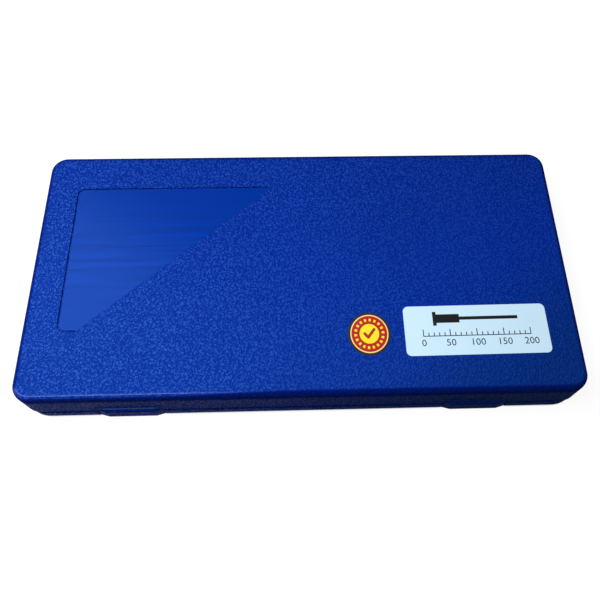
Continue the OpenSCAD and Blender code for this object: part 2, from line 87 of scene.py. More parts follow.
def length(name, description, value):
    """A length in metres that a user may change."""
    return FloatProperty(
        name=name, description=description, unit="LENGTH", subtype="DISTANCE", min=0, default=value
    )


def offset(name, description, value):
    """A distance from the case's middle, in metres, that a user may change."""
    return FloatProperty(name=name, description=description, unit="LENGTH", subtype="DISTANCE", default=value)


class GaugeCaseShells(bpy.types.PropertyGroup):
    """Moulded plastic of both shells and the latches."""

    plastic: tint("Plastic", "Colour of the moulded plastic", (0.0003, 0.0210, 0.296))
    # Grain crests mix towards this colour; the same mix paints sheen on the grain, stronger towards the front
    # left and the rear left
    crest: tint("Crests", "Colour of the rubbed tops of the grain", (0.029, 0.118, 0.425))
    # Painted sheen: the smooth panel is tinted a little towards this colour in place of its sheen
    polish: tint("Polish", "Colour of the smooth panel's polish", (0.0, 0.125, 0.36))
    # Painted highlight: colour of the light line above the left latch's lip
    scuff: tint("Scuffed edge", "Colour of the left latch's scuffed finger edge", (0.18, 0.30, 1.0))
    # Painted shade: colour of the lid's rounded rim and of the lips' slanted tops
    deep: tint("Rounded rim", "Colour of the rounded rim of the lid", (0.0, 0.005, 0.13))
    # Painted shade: colour that the front right corner fades to
    shaded: tint("Dull corner", "Colour that the front right corner fades to", (0.001, 0.022, 0.095))
    grain_size: length("Grain size", "Width of one pebble of the moulded grain", 1.25 * MM)
    grain_depth: length("Grain depth", "Depth of the furrows between the pebbles", 0.34 * MM)
    parting: offset("Parting line", "Height of the seam between the shells", 8.75 * MM)
    panel_left: offset("Panel's left side", "Groove on the left of the smooth corner", -135.5 * MM)
    panel_rear: offset("Panel's rear side", "Groove at the rear of the smooth corner", 54.6 * MM)
    panel_front: offset("Panel's front side", "Groove's short end at the front", -40.4 * MM)
    panel_point: offset("Panel's point", "Where the slanted edge meets the rear groove", -17 * MM)
    panel_slope: FloatProperty(
        name="Panel's slope", description="Rise of the slanted edge for each unit to the right", default=0.88
    )


class GaugeCasePrint(bpy.types.PropertyGroup):
    """White label and round sticker on the lid."""

    paper: tint("Paper", "Colour of the white label", (0.64, 0.86, 1.0))
    ink: tint("Ink", "Colour of the print on the label", (0.006, 0.006, 0.008))
    number_height: length("Number height", "Height of the numbers on the label", 3.9 * MM)
    label_turn: FloatProperty(
        name="Label turn",
        description="Turn of the label on the lid",
        subtype="ANGLE",
        default=math.radians(0.45),
    )
    field: tint("Sticker field", "Main colour of the sticker", (0.46, 0.012, 0.012))
    motif: tint("Sticker motif", "Colour of the sticker's disc and short marks", (0.92, 0.74, 0.02))
    ring: tint("Sticker ring", "Colour of the ring inside the sticker's edge", (0.95, 0.74, 0.28))
    rim: tint("Sticker rim", "Colour of the sticker's cut edge", (0.02, 0.02, 0.012))


class GaugeCaseGauge(bpy.types.PropertyGroup):
    """Metal pieces of the gauge and their scales."""

    steel: tint("Steel", "Colour of the ground and plated steel", (0.56, 0.56, 0.55))
    dark_steel: tint("Screw steel", "Colour of screws and pins", (0.42, 0.42, 0.42))
    brass: tint("Brass", "Colour of the gib strip", (0.66, 0.45, 0.16))
    ink: tint("Scale ink", "Colour of the filled scale lines", (0.012, 0.012, 0.014))
    line_width: length("Line width", "Width of a scale line", 0.14 * MM)
    divisions: IntProperty(
        name="Vernier divisions", description="Number of divisions of the vernier", default=50, min=10
    )


class GaugeCaseFoam(bpy.types.PropertyGroup):
    """Soft inserts in base and lid."""

    colour: tint("Foam", "Colour of the foam", (0.026, 0.028, 0.034))
    edge: length("Edge", "Radius of the foam's soft edges", 1.1 * MM)
    cell: length("Cell", "Width of one open cell on the foam's skin", 0.7 * MM)


class GaugeCaseStage(bpy.types.PropertyGroup):
    """Floor, lamps and camera."""

    floor: tint("Floor", "Colour of the floor", (0.15, 0.15, 0.15))
    strip_power: FloatProperty(
        name="Strip lamp",
        description="Power of the narrow lamp over the front left",
        unit="POWER",
        default=2.1,
        min=0,
    )
    broad_power: FloatProperty(
        name="Broad lamp",
        description="Power of the wide lamp over the left end",
        unit="POWER",
        default=4.3,
        min=0,
    )
    surround: FloatProperty(
        name="Surround", description="Strength of the light from all around", default=0.19, min=0
    )
    mirrored: FloatProperty(
        name="Mirrored surround",
        description="Strength of the surround in shiny surfaces",
        default=0.12,
        min=0,
    )
    lens: FloatProperty(
        name="Lens", description="Focal length on a 36 mm wide frame", unit="CAMERA", default=38.92, min=1
    )


GROUPS = {
    "gauge_case_shells": GaugeCaseShells,
    "gauge_case_print": GaugeCasePrint,
    "gauge_case_gauge": GaugeCaseGauge,
    "gauge_case_foam": GaugeCaseFoam,
    "gauge_case_stage": GaugeCaseStage,
}


class Term:
    """A socket that takes part in sums: each operator adds one Math node."""

    def __init__(self, socket):
        self.socket = socket

    def step(self, operation, *values):
        node = self.socket.id_data.nodes.new("ShaderNodeMath")
        node.operation = operation
        for slot, value in zip(node.inputs, values):
            plug(slot, value)
        return Term(node.outputs[0])

    def __add__(self, other):
        return self.step("ADD", self, other)

    def __radd__(self, other):
        return self.step("ADD", other, self)

    def __sub__(self, other):
        return self.step("SUBTRACT", self, other)

    def __rsub__(self, other):
        return self.step("SUBTRACT", other, self)

    def __mul__(self, other):
        return self.step("MULTIPLY", self, other)

    def __rmul__(self, other):
        return self.step("MULTIPLY", other, self)

    def __truediv__(self, other):
        return self.step("DIVIDE", self, other)

    def __pow__(self, other):
        return self.step("POWER", self, other)

    def __abs__(self):
        return self.step("ABSOLUTE", self)

    def __lt__(self, other):
        return self.step("LESS_THAN", self, other)

    def __gt__(self, other):
        return self.step("GREATER_THAN", self, other)

    def __and__(self, other):
        return self.step("MINIMUM", self, other)

    def __or__(self, other):
        return self.step("MAXIMUM", self, other)


def plug(slot, value):
    """Links a term to a socket, or sets the socket's own value."""
    if isinstance(value, Term):
        slot.id_data.links.new(value.socket, slot)
    else:
        slot.default_value = value


class Outputs:
    """A node's outputs by name."""

    def __init__(self, node):
        self.node = node

    def __getitem__(self, name):
        return Term(pick(self.node.outputs, name))


def pick(sockets, name):
    """The socket in use that has this name or place."""
    if isinstance(name, int):
        return sockets[name]
    return next(s for s in sockets if s.enabled and name in (s.name, s.identifier))


class Finish:
    """A material, or a world's own nodes, written as expressions."""

    def __init__(self, name, tree=None):
        self.material = None
        if tree is None:
            self.material = bpy.data.materials.new(name)
            self.material.use_nodes = True
            tree = self.material.node_tree
        self.tree = tree
        self.tree.nodes.clear()

    def node(self, kind, settings, sockets):
        """Adds a node: first its settings, then the values or links of its sockets."""
        node = self.tree.nodes.new(kind)
        for name, value in settings.items():
            setattr(node, name, value)
        for name, value in sockets.items():
            plug(pick(node.inputs, name), value)
        return Outputs(node)

    def point(self):
        """The point on the surface, in metres, which moves with the piece."""
        return self.node("ShaderNodeTexCoord", {}, {})["Object"]

    def axes(self, spot):
        """The three parts of a point."""
        parts = self.node("ShaderNodeSeparateXYZ", {}, {"Vector": spot})
        return parts["X"], parts["Y"], parts["Z"]

    def stretch(self, spot, scale):
        """A point with each axis scaled by its own factor."""
        return self.node("ShaderNodeVectorMath", {"operation": "MULTIPLY"}, {0: spot, 1: scale})[0]

    def noise(self, spot, scale, detail=2.0, rough=0.5):
        """Soft cloudy noise about 0.5."""
        return self.node(
            "ShaderNodeTexNoise",
            {},
            {"Vector": spot, "Scale": scale, "Detail": detail, "Roughness": rough},
        )["Fac"]

    def ramp(self, value, start, end):
        """0 before start, 1 after end, and smooth between."""
        return self.node(
            "ShaderNodeMapRange",
            {"interpolation_type": "SMOOTHSTEP"},
            {"Value": value, "From Min": start, "From Max": end},
        )["Result"]

    def mix(self, factor, first, second):
        """From the first colour at 0 to the second at 1."""
        return self.node(
            "ShaderNodeMix",
            {"data_type": "RGBA"},
            {"Factor_Float": factor, "A_Color": full(first), "B_Color": full(second)},
        )["Result_Color"]

    def shade(self, colour, factor):
        """A colour made lighter or darker by a factor."""
        parts = {"Red": factor, "Green": factor, "Blue": factor}
        grey = self.node("ShaderNodeCombineColor", {}, parts)["Color"]
        return self.node(
            "ShaderNodeMix",
            {"data_type": "RGBA", "blend_type": "MULTIPLY"},
            {"Factor_Float": 1.0, "A_Color": full(colour), "B_Color": grey},
        )["Result_Color"]

    def bump(self, height, depth, normal=None):
        """A surface normal raised by a height of 0 to 1 over a depth in metres."""
        sockets = {"Distance": depth, "Height": height}
        if normal is not None:
            sockets["Normal"] = normal
        return self.node("ShaderNodeBump", {}, sockets)["Normal"]

    def surface(self, **sockets):
        """Ends the material in one principled shader."""
        names = {name.replace("_", " "): value for name, value in sockets.items()}
        names["Base Color"] = full(names["Base Color"])
        shader = self.node("ShaderNodeBsdfPrincipled", {}, {})
        for slot in shader.node.inputs:
            if slot.name in names:
                plug(slot, names.pop(slot.name))
        if names:
            raise ValueError(f"no such sockets: {sorted(names)}")
        self.node("ShaderNodeOutputMaterial", {}, {"Surface": shader["BSDF"]})
        return self.material


def full(colour):
    """A colour with its alpha, or a term as it is."""
    return colour if isinstance(colour, Term) else (*colour, 1.0)


def wear(material, *names):
    """Gives CAD nodes a material."""
    for name in names:
        for slot in nodes[name].material_slots:
            slot.material = material


def put(name, mesh, material, body):
    """A new piece that moves with a body."""
    mesh.materials.clear()
    mesh.materials.append(material)
    piece = bpy.data.objects.new(name, mesh)
    bpy.context.scene.collection.objects.link(piece)
    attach(piece, body)
    return piece


def mesh_of(bm, name):
    """A mesh from a bmesh, with its normals outwards."""
    bmesh.ops.recalc_face_normals(bm, faces=bm.faces)
    mesh = bpy.data.meshes.new(name)
    bm.to_mesh(mesh)
    bm.free()
    return mesh


def flat(level):
    """A level surface for ink to lie on."""
    return lambda x, y: level


INK_RISE = 0.012 * MM
INK_SINK = 0.02 * MM


def patch(bm, outline, level):
    """A thin closed layer of ink with the given outline."""
    upper = [bm.verts.new((x, y, level(x, y) + INK_RISE)) for x, y in outline]
    lower = [bm.verts.new((x, y, level(x, y) - INK_SINK)) for x, y in outline]
    bm.faces.new(upper)
    bm.faces.new(reversed(lower))
    for i, a in enumerate(upper):
        j = (i + 1) % len(upper)
        bm.faces.new((a, lower[i], lower[j], upper[j]))


def bar(bm, x0, x1, y0, y1, level):
    """A straight-sided patch of ink."""
    patch(bm, [(x0, y0), (x1, y0), (x1, y1), (x0, y1)], level)


DIGIT_SHARE = 0.69


def number(bm, value, x, y, height, level):
    """A number as a thin closed layer of ink, centred on a point."""
    curve = bpy.data.curves.new("number", "FONT")
    curve.body = str(value)
    curve.size = height / DIGIT_SHARE
    curve.align_x = "CENTER"
    curve.align_y = "CENTER"
    curve.resolution_u = 3
    curve.extrude = (INK_RISE + INK_SINK) / 2
    shape = bpy.data.objects.new("number", curve)
    mesh = bpy.data.meshes.new_from_object(shape)
    mesh.transform(Matrix.Translation((x, y, level(x, y) + (INK_RISE - INK_SINK) / 2)))
    bm.from_mesh(mesh)
    bpy.data.objects.remove(shape)
    bpy.data.curves.remove(curve)
    bpy.data.meshes.remove(mesh)


def leather(f, spot, size):
    """Pebbled grain, from 0 in its furrows to 1 on its pebbles."""
    drift = f.node("ShaderNodeTexNoise", {}, {"Vector": spot, "Scale": 0.8 / size, "Detail": 1.0})["Color"]
    bent = f.node(
        "ShaderNodeVectorMath",
        {"operation": "MULTIPLY_ADD"},
        {0: drift, 1: (size * 1.2,) * 3, 2: spot},
    )[0]
    pebbles = f.node(
        "ShaderNodeTexVoronoi",
        {"feature": "SMOOTH_F1"},
        {"Vector": bent, "Scale": 1 / size, "Smoothness": 0.35},
    )["Distance"]
    worms = 1 - abs(f.noise(bent, 0.9 / size, 1.5) - 0.5) * 5
    return f.ramp(worms * 0.35 + (0.75 - pebbles) * 1.1, 0.12, 0.78)


class CasePoint:
    """Where a point lies on the closed case, in millimetres."""

    def __init__(self, f):
        self.spot = f.point()
        self.x, self.y, self.z = (part / MM for part in f.axes(self.spot))
        lid_low, lid_high = low("lid_shell") / MM, high("lid_shell") / MM
        corner = 10.0
        past_x = (abs(self.x) - (lid_high.x - corner)) | 0.0
        past_y = (abs(self.y) + (lid_low.y + corner)) | 0.0
        # how far in from the lid's outer wall
        self.depth = corner - (past_x * past_x + past_y * past_y) ** 0.5
        # how far below the lid's top
        self.drop = lid_high.z - self.z
        # how far past the lid's front or rear wall
        self.ahead = past_y - corner
        self.in_front = self.y < lid_low.y
        self.upper = self.z > lid_high.z / 2


def corner_panel(f, at, look):
    """The smooth panel, slightly ragged along its slant, and a band of painted shade beside its grooves."""
    left, rear, front = look.panel_left / MM, look.panel_rear / MM, look.panel_front / MM
    slant = (at.y - rear) - (at.x - look.panel_point / MM) * look.panel_slope
    ragged = (f.noise(at.spot, 900.0, 1.0) - 0.5) * 1.2
    panel = f.ramp(slant + ragged, -0.2, 0.3) * (at.drop < 0.1)
    panel = panel * (at.x > left) * (at.y < rear) * (at.y > front)
    # painted shade beside the panel's grooves
    painted_groove_shade = f.ramp((at.x - left) & (rear - at.y), 0.8, 0.4) * panel
    return panel, painted_groove_shade


def panel_marks(f, at, panel):
    """Long streaks and short scratches on the smooth panel."""
    streak = f.noise(f.stretch(at.spot, (9.0, 330.0, 1.0)), 1.0, 4.0, 0.65)
    streak = (streak - 0.5) * panel * f.ramp(abs(at.y - 8.0), 46.0, 8.0)
    scratch = f.noise(f.stretch(at.spot, (46.0, 120.0, 1.0)), 1.0, 2.0)
    scratch = f.ramp(abs(scratch - 0.5), 0.006, 0.0) * f.ramp(f.noise(at.spot, 70.0, 0.0), 0.60, 0.66)
    return streak, scratch * panel


def lid_edge(f, at):
    """The crease of the lid's top edge, rubbed at the front left, and the rounded rim outside it, which is
    darkened with painted shade.
    """
    crease = 2.12
    front_left = f.ramp(at.y, -70.0, -74.0) * f.ramp(at.x, 0.0, -80.0)
    rubbed = f.ramp(abs(at.depth - crease), 1.1, 0.4) * (at.drop < 1.2) * front_left
    # painted shade on the rounded rim, which starts further out along the front left
    rim = f.ramp(at.depth + front_left * 1.9, crease + 1.4, crease + 0.1)
    return rubbed, rim * f.ramp(at.drop, 7.0, 3.0)


def latch_edges(f, at):
    """The slanted tops of both lips, darkened with painted shade, and a painted highlight along the edge
    above the left one.
    """
    # painted shade on the lips' slanted tops
    painted_lip_shade = f.ramp(at.ahead, 0.6, 0.9) * at.in_front * (at.z > 9.3) * (at.z < 11.0)
    left, right = low("latch_left").x / MM, high("latch_left").x / MM
    # painted highlight along the edge above the left latch's lip
    painted_highlight = f.ramp(abs(at.z - 12.0), 1.4, 0.8) * (at.y < 0.0) * (at.depth < 0.6)
    painted_highlight = painted_highlight * f.ramp(at.x, left + 2.0, left + 5.0) * f.ramp(at.x, right - 2.0, right - 5.0)
    return painted_lip_shade, painted_highlight


def moulded_blue(look):
    """Blue plastic of both shells: grained skin, smooth corner panel, plain inside."""
    f = Finish("moulded_blue")
    at = CasePoint(f)
    inside = (at.depth > 1.2) * (at.z > 1.2) * (at.drop > 1.3)
    wall = f.ramp(at.depth, 1.5, 0.2) * f.ramp(at.drop, 1.5, 4.0)
    # painted shade in the panel's groove, just below the lid's top
    groove = (at.depth > 4.2) * (at.drop > 0.1) * at.upper * (1 - inside)
    # painted shade along the parting seam between the shells
    seam = f.ramp(at.depth, -0.45, -0.15) * (at.depth < 1.6)
    seam = seam * f.ramp(abs(at.z - look.parting / MM), 0.6, 0.3)
    panel, painted_groove_shade = corner_panel(f, at, look)
    streak, scratch = panel_marks(f, at, panel)
    rubbed, rim = lid_edge(f, at)
    painted_lip_shade, painted_highlight = latch_edges(f, at)

    skin = (1 - inside) * (1 - panel)
    grain = leather(f, at.spot, look.grain_size)
    crests = grain * grain * skin
    cloud = f.noise(at.spot, 22.0, 3.0)
    # painted sheen: grain contrast and crest mix made stronger towards the rear left and the rear
    clear = 0.75 + f.ramp(at.y * 0.4 - at.x, -110.0, 20.0) * 0.45
    clear = clear * (1 + f.ramp(at.y, 10.0, 70.0) * 0.3)
    # painted sheen: the grain made lighter towards the front left
    painted_sheen = f.ramp(0.0 - at.x * 0.6 - at.y, -90.0, 120.0)
    # painted shade: darker towards the front right corner
    painted_corner_shade = f.ramp(at.x * 0.7 - at.y, 75.0, 165.0)
    # painted shade: darker towards the rear
    rear_half = f.ramp(at.y, -20.0, 75.0)
    # painted shade along the rounded rear edge
    rear_edge = f.ramp(at.y, 73.5, 77.0)
    bend = f.ramp(at.drop, 0.4, 1.4)

    tone = 0.93 + cloud * 0.14 + streak * 1.6 + scratch * 0.35
    tone = tone + (crests - 0.4 * skin) * (clear * 0.24 + wall * 0.4)
    darker = (
        (rear_half, 0.1),
        (rear_edge, 0.35),
        (panel, 0.06),
        (painted_groove_shade, 0.35),
        (groove, 0.15),
        # painted shade: the walls made darker than the top
        (wall, 0.25),
        (seam, 0.8),
    )
    for mark, share in darker:
        tone = tone * (1 - mark * share)
    # lighter crests of the grain, plus painted sheen
    pale = (crests * 0.25 - 0.1 * skin) * clear + (painted_sheen * 0.12 + 0.045) * skin
    pale = pale * (1 - bend * 0.75) * (1 - rim)
    colour = f.shade(look.plastic, tone)
    covers = (
        (pale | 0.0, look.crest),
        # painted sheen on the smooth panel
        (panel * 0.07, look.polish),
        # painted highlight above the left latch
        (painted_highlight * 0.5, look.scuff),
        # painted shade at the front right corner
        (painted_corner_shade * 0.5, look.shaded),
        # painted shade on the lid's rounded rim and the lips' slanted tops
        ((rim | painted_lip_shade) * 0.8, look.deep),
    )
    for cover, paint in covers:
        colour = f.mix(cover, colour, paint)
    roughness = 0.28 - streak * 0.25 - rubbed * 0.09 + wall * 0.30 + rim * 0.4
    roughness = roughness + (0.85 - grain) * skin * (1 - rubbed) * 0.34
    height = grain * skin * (1 - rubbed * 0.7) + streak * 0.05
    eased = f.node("ShaderNodeBevel", {"samples": 6}, {"Radius": 0.5 * MM})["Normal"]
    return f.surface(
        Base_Color=colour,
        Roughness=roughness,
        Specular_IOR_Level=0.16,
        Specular_Tint=(0.12, 0.45, 1.0, 1.0),
        Coat_Weight=rubbed * 0.19 + panel * 0.004,
        Coat_Roughness=0.14,
        Normal=f.bump(height, look.grain_depth, eased),
    )


def brushed(name, colour, roughness, along):
    """Ground metal with fine lines along one axis."""
    f = Finish(name)
    spot = f.point()
    scale = [2600.0, 2600.0, 2600.0]
    scale["xyz".index(along)] = 60.0
    lines = f.noise(f.stretch(spot, tuple(scale)), 1.0, 3.0, 0.6)
    stain = f.noise(spot, 90.0, 3.0)
    tone = 0.90 + lines * 0.14 + (stain - 0.5) * 0.12
    return f.surface(
        Base_Color=f.shade(colour, tone),
        Metallic=1.0,
        Roughness=roughness + (lines - 0.5) * 0.16 + (stain - 0.5) * 0.10,
        Normal=f.bump(lines, 0.012 * MM),
    )


def paper(look):
    """Coated white paper with faint fibres."""
    f = Finish("label_paper")
    spot = f.point()
    fibre = f.noise(f.stretch(spot, (1200.0, 2600.0, 1200.0)), 1.0, 3.0, 0.6)
    cloud = f.noise(spot, 45.0, 2.0)
    tone = 0.965 + (fibre - 0.5) * 0.05 + (cloud - 0.5) * 0.06
    return f.surface(
        Base_Color=f.shade(look.paper, tone),
        Roughness=0.42 + (fibre - 0.5) * 0.12,
        Specular_IOR_Level=0.3,
        Normal=f.bump(fibre, 0.01 * MM),
    )


def ink(name, colour):
    """Printed ink with slightly uneven cover."""
    f = Finish(name)
    speck = f.noise(f.point(), 5200.0, 2.0)
    return f.surface(
        Base_Color=f.shade(colour, 0.8 + speck * 0.4),
        Roughness=0.42 + speck * 0.16,
        Specular_IOR_Level=0.3,
    )


def sticker_film(look):
    """Round printed film: dark rim, ring, ring of short marks and a check mark."""
    f = Finish("sticker_film")
    spot = f.point()
    x, y = f.axes(spot)[:2]
    centre = middle("round_sticker")
    size = high("round_sticker") - low("round_sticker")
    edge = 12.0
    mark_count, mark_inner, mark_outer = 18, 7.0, 8.5
    disc_radius = 5.5
    check_width = 1.6
    soft = 0.08
    u = (x - centre.x) / size.x * edge * 2
    v = (y - centre.y) / size.y * edge * 2
    radius = (u * u + v * v) ** 0.5

    def band(inner, outer):
        return f.ramp(radius, inner - soft, inner + soft) * f.ramp(radius, outer + soft, outer - soft)

    def stroke(a, b, width):
        du, dv = b[0] - a[0], b[1] - a[1]
        along = ((u - a[0]) * du + (v - a[1]) * dv) / (du * du + dv * dv)
        along = (along | 0.0) & 1.0
        du, dv = u - a[0] - along * du, v - a[1] - along * dv
        return f.ramp((du * du + dv * dv) ** 0.5, width / 2 + soft, width / 2 - soft)

    turn = v.step("ARCTAN2", v, u) * mark_count
    marks = f.ramp(turn.step("SINE", turn), 0.05, 0.25) * band(mark_inner, mark_outer)
    tail, foot, tip = (-2.6, 0.1), (-0.7, -2.0), (2.8, 2.4)
    check = stroke(tail, foot, check_width) | stroke(foot, tip, check_width)
    disc = f.ramp(radius, disc_radius + soft, disc_radius - soft) * (1 - check)
    motif = marks | disc
    cream = band(edge - 1.9, edge - 1.3)
    rim = f.ramp(radius, edge - 1.25, edge - 1.15)

    speck = f.noise(spot, 3800.0, 2.0)
    cloud = f.noise(spot, 160.0, 2.0)
    colour = f.mix(motif, look.field, look.motif)
    colour = f.mix(cream, colour, look.ring)
    colour = f.mix(rim, colour, look.rim)
    return f.surface(
        Base_Color=f.shade(colour, 0.93 + speck * 0.08 + cloud * 0.08),
        Roughness=0.34 + speck * 0.08,
        Specular_IOR_Level=0.3,
        Normal=f.bump(speck, 0.006 * MM),
    )


def open_foam(look):
    """Dark foam with open cells."""
    f = Finish("open_foam")
    spot = f.point()
    cells = f.node(
        "ShaderNodeTexVoronoi", {"feature": "F1"}, {"Vector": spot, "Scale": 1 / look.cell, "Randomness": 1.0}
    )["Distance"]
    fine = f.noise(spot, 2.2 / look.cell, 3.0, 0.65)
    cloud = f.noise(spot, 30.0, 3.0)
    walls = f.ramp(cells * 0.8 + fine * 0.5, 0.25, 0.85)
    tone = 0.55 + walls * 0.75 + (cloud - 0.5) * 0.35
    return f.surface(
        Base_Color=f.shade(look.colour, tone),
        Roughness=0.92,
        Specular_IOR_Level=0.12,
        Normal=f.bump(walls, 0.22 * MM),
    )


ARC_POINTS = 9


def rounded(x0, x1, y0, y1, r):
    """Points of a rectangle with round corners, anticlockwise from its right rear."""
    points = []
    centres = (x1 - r, y1 - r), (x0 + r, y1 - r), (x0 + r, y0 + r), (x1 - r, y0 + r)
    for quarter, (cx, cy) in enumerate(centres):
        for step in range(ARC_POINTS):
            a = math.radians((quarter + step / (ARC_POINTS - 1)) * 90)
            points.append((cx + r * math.cos(a), cy + r * math.sin(a)))
    return points


def notched(x0, x1, y0, y1, r, notches, depth):
    """The same with notches cut into its front side."""
    points = rounded(x0, x1, y0, y1, r)
    front = []
    for a, b in sorted(notches):
        front += [(a, y0), (a, y0 + depth), (b, y0 + depth), (b, y0)]
    left_front = 3 * ARC_POINTS
    return points[:left_front] + front + points[left_front:]


def foam_mesh(name, outlines, z0, z1, edge):
    """A flat foam piece cut to its outlines, with soft edges."""
    curve = bpy.data.curves.new(name, "CURVE")
    curve.dimensions = "2D"
    curve.fill_mode = "BOTH"
    for outline in outlines:
        spline = curve.splines.new("POLY")
        spline.points.add(len(outline) - 1)
        for point, (x, y) in zip(spline.points, outline):
            point.co = (x, y, 0, 1)
        spline.use_cyclic_u = True
    curve.extrude = (z1 - z0) / 2 - edge
    curve.bevel_depth = edge
    curve.bevel_resolution = 3
    curve.offset = -edge
    shape = bpy.data.objects.new(name, curve)
    mesh = bpy.data.meshes.new_from_object(shape)
    mesh.transform(Matrix.Translation((0, 0, (z0 + z1) / 2)))
    bpy.data.objects.remove(shape)
    bpy.data.curves.remove(curve)
    return mesh


class GAUGECASE_OT_shells(bpy.types.Operator):
    """Give both shells and the latches their moulded plastic"""

    bl_idname = "gauge_case.shells"
    bl_label = "Shells and latches"
    bl_options = {"REGISTER", "UNDO"}

    def execute(self, context):
        look = context.scene.gauge_case_shells
        wear(moulded_blue(look), "base_shell", "lid_shell", "latch_left", "latch_right")
        return {"FINISHED"}


class GAUGECASE_OT_pins(bpy.types.Operator):
    """Give pins and screws their steel"""

    bl_idname = "gauge_case.pins"
    bl_label = "Pins and screws"
    bl_options = {"REGISTER", "UNDO"}

    def execute(self, context):
        look = context.scene.gauge_case_gauge
        wear(
            brushed("turned_steel", look.dark_steel, 0.30, "x"),
            "hinge_pin_left",
            "hinge_pin_right",
            "latch_pin_left",
            "latch_pin_right",
        )
        wear(
            brushed("screw_steel", look.dark_steel, 0.34, "z"),
            "end_stop_screw",
            "base_screws",
            "vernier_screws",
            "gib_set_screws",
        )
        return {"FINISHED"}


class GAUGECASE_OT_label(bpy.types.Operator):
    """Give the white label its paper, and print a range scale on it"""

    bl_idname = "gauge_case.label"
    bl_label = "White label"
    bl_options = {"REGISTER", "UNDO"}

    def execute(self, context):
        look = context.scene.gauge_case_print
        wear(paper(look), "white_label")
        centre = middle("white_label")
        top = flat(high("white_label").z)
        bm = bmesh.new()

        def stripe(u0, u1, v0, v1):
            bar(bm, centre.x + u0 * MM, centre.x + u1 * MM, centre.y + v0 * MM, centre.y + v1 * MM, top)

        half, line, foot = 30, 0.25, -3.2
        long_tick, short_tick, number_at = 0.6, -1.3, 7.6
        stripe(-half - 0.2, half + 0.2, foot - 0.5, foot)
        for step in range(21):
            u = -half + step * 3
            stripe(u - line, u + line, foot, long_tick if step % 5 == 0 else short_tick)
        for value in range(0, 201, 50):
            x = centre.x + (value * 0.3 - half) * MM
            number(bm, value, x, centre.y - number_at * MM, look.number_height, top)
        rod = (-22, 24, 6.0, 8.0)
        cross_bar = (-24, -22, 2.8, 11.2)
        slider_sides = (-22, -9, 4.4, 6.0), (-22, -9, 8.0, 9.6)
        for sides in (rod, cross_bar, *slider_sides):
            stripe(*sides)
        turn = Matrix.Rotation(look.label_turn, 3, "Z")
        bmesh.ops.rotate(bm, verts=bm.verts, cent=centre, matrix=turn)
        put("label_print", mesh_of(bm, "label_print"), ink("label_ink", look.ink), "lid")
        return {"FINISHED"}


class GAUGECASE_OT_sticker(bpy.types.Operator):
    """Give the round sticker its printed film"""

    bl_idname = "gauge_case.sticker"
    bl_label = "Round sticker"
    bl_options = {"REGISTER", "UNDO"}

    def execute(self, context):
        wear(sticker_film(context.scene.gauge_case_print), "round_sticker")
        return {"FINISHED"}


class GAUGECASE_OT_gauge(bpy.types.Operator):
    """Give the gauge's pieces their metal"""

    bl_idname = "gauge_case.gauge"
    bl_label = "Gauge"
    bl_options = {"REGISTER", "UNDO"}

    def execute(self, context):
        look = context.scene.gauge_case_gauge
        wear(brushed("ground_steel_x", look.steel, 0.50, "x"), "main_beam", "slider_frame", "end_stop")
        wear(brushed("ground_steel_y", look.steel, 0.46, "y"), "measuring_base", "clamp_screw")
        wear(brushed("satin_plate", look.steel, 0.58, "x"), "vernier_plate")
        wear(brushed("gib_brass", look.brass, 0.34, "x"), "gib_strip")
        return {"FINISHED"}


class GAUGECASE_OT_scales(bpy.types.Operator):
    """Mark the beam's scale in millimetres and the vernier's divisions"""

    bl_idname = "gauge_case.scales"
    bl_label = "Scales"
    bl_options = {"REGISTER", "UNDO"}

    def execute(self, context):
        look = context.scene.gauge_case_gauge
        line = look.line_width / 2
        plate_low, plate_high = low("vernier_plate"), high("vernier_plate")
        share = (look.divisions - 1) / look.divisions * MM
        zero = (plate_low.x + plate_high.x - look.divisions * share) / 2
        read = plate_high.y
        finish = ink("scale_ink", look.ink)

        beam = flat(high("main_beam").z)
        bm = bmesh.new()
        last = 250
        ten, five, one = 3.6, 2.9, 2.1
        hidden = 0.5 * MM
        number_rise, number_height = 5.2 * MM, 1.9 * MM
        for step in range(last + 1):
            x = zero + step * MM
            rise = ten if step % 10 == 0 else five if step % 5 == 0 else one
            bar(bm, x - line, x + line, read - hidden, read + rise * MM, beam)
        for step in range(0, last + 1, 10):
            number(bm, step, zero + step * MM, read + number_rise, number_height, beam)
        put("beam_scale", mesh_of(bm, "beam_scale"), finish, "case_base")

        top = plate_high.z
        bevel = 3.5 * MM
        drop = 0.75 * MM

        def slope(x, y):
            return top - drop * max(0.0, (y - read + bevel) / bevel)

        bm = bmesh.new()
        five, one = 2.6, 1.7
        edge = 0.06 * MM
        number_gap, number_height = 0.8 * MM, 1.1 * MM
        for step in range(look.divisions + 1):
            x = zero + step * share
            rise = five if step % 5 == 0 else one
            bar(bm, x - line, x + line, read - rise * MM, read - edge, slope)
        for step in range(0, look.divisions + 1, 5):
            x = zero + step * share
            number(bm, step // 5, x, read - bevel - number_gap, number_height, flat(top))
        put("vernier_scale", mesh_of(bm, "vernier_scale"), finish, "slider")
        return {"FINISHED"}


